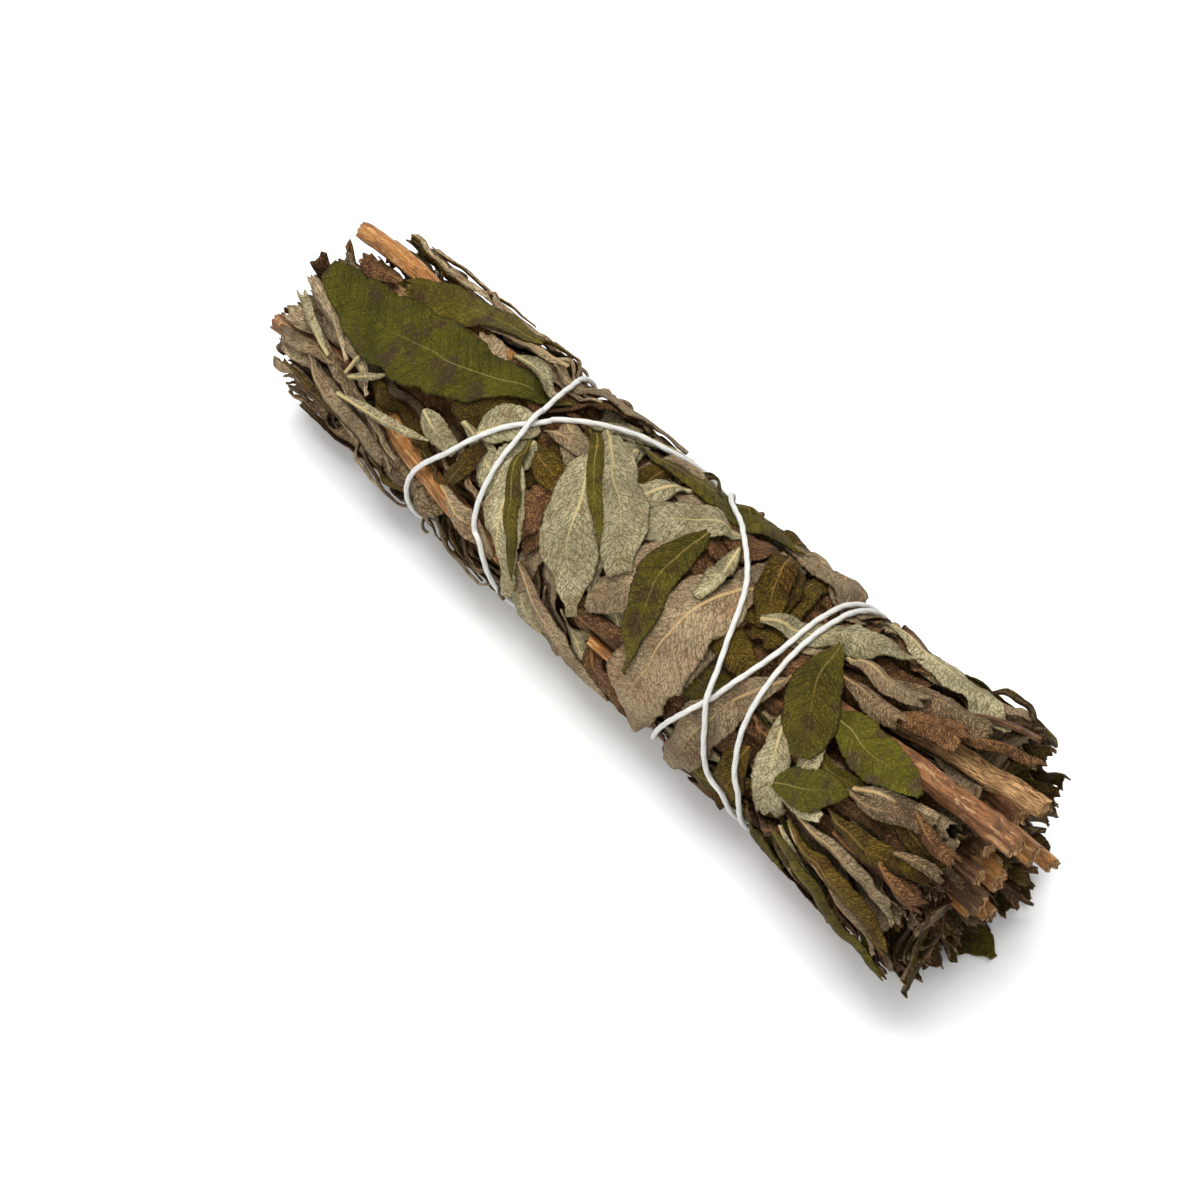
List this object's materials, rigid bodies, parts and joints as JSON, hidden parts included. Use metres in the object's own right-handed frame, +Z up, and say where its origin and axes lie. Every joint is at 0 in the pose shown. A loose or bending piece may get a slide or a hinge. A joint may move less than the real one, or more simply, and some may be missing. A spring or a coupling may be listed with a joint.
{
  "type": "sage bunch",
  "caption": "Dried sage bunch: cut stems and long grey-green leaves pressed into a tapered roll, wound crosswise with white cotton string.",
  "frame": {"origin": "middle of the underside, on the surface that the bunch lies on", "axes": "+X along the bunch towards its flared cut end, +Z up, -Y the side with the string's crossings nearest the viewer"},
  "size_m": [0.162, 0.044, 0.0429],
  "materials": {
    "leaf_green": "satin",
    "leaf_felt": "matte",
    "leaf_dry": "matte",
    "stem": "satin",
    "string": "matte"
  },
  "bodies": {
    "root": {"binding_string": "string", "leaf_01": "leaf_dry", "leaf_02": "leaf_green", "leaf_03": "leaf_felt", "leaf_04": "leaf_green", "leaf_05": "leaf_green", "leaf_06": "leaf_green", "leaf_07": "leaf_green", "leaf_08": "leaf_felt", "leaf_09": "leaf_green", "leaf_10": "leaf_felt", "leaf_11": "leaf_felt", "leaf_12": "leaf_felt", "leaf_13": "leaf_felt", "leaf_14": "leaf_felt", "leaf_15": "leaf_felt", "leaf_16": "leaf_felt", "leaf_17": "leaf_green", "leaf_18": "leaf_felt", "leaf_19": "leaf_felt", "leaf_20": "leaf_felt", "leaf_21": "leaf_green", "leaf_22": "leaf_green", "leaf_23": "leaf_green", "leaf_24": "leaf_green", "leaf_25": "leaf_felt", "leaf_26": "leaf_dry", "leaf_27": "leaf_dry", "leaf_28": "leaf_green", "leaf_29": "leaf_felt", "leaf_30": "leaf_green", "leaf_31": "leaf_felt", "leaf_32": "leaf_dry", "leaf_33": "leaf_felt", "leaf_34": "leaf_green", "leaf_35": "leaf_felt", "leaf_36": "leaf_dry", "pressed_leaves_1": "leaf_dry", "pressed_leaves_2": "leaf_dry", "pressed_leaves_3": "leaf_dry", "pressed_leaves_4": "leaf_dry", "pressed_leaves_5": "leaf_dry", "pressed_leaves_6": "leaf_dry", "pressed_leaves_7": "leaf_dry", "pressed_leaves_8": "leaf_dry", "stem_core_1": "stem", "stem_core_2": "stem", "stem_core_3": "stem", "stem_core_4": "stem", "stem_core_5": "stem", "stem_core_6": "stem", "stem_core_7": "stem", "stem_core_8": "stem", "stem_core_9": "stem", "stem_core_10": "stem", "stem_core_11": "stem", "stem_top_reddish": "stem", "stem_top_split": "stem", "stem_near_edge": "stem", "stem_far_top": "stem"}
  },
  "joints": []
}
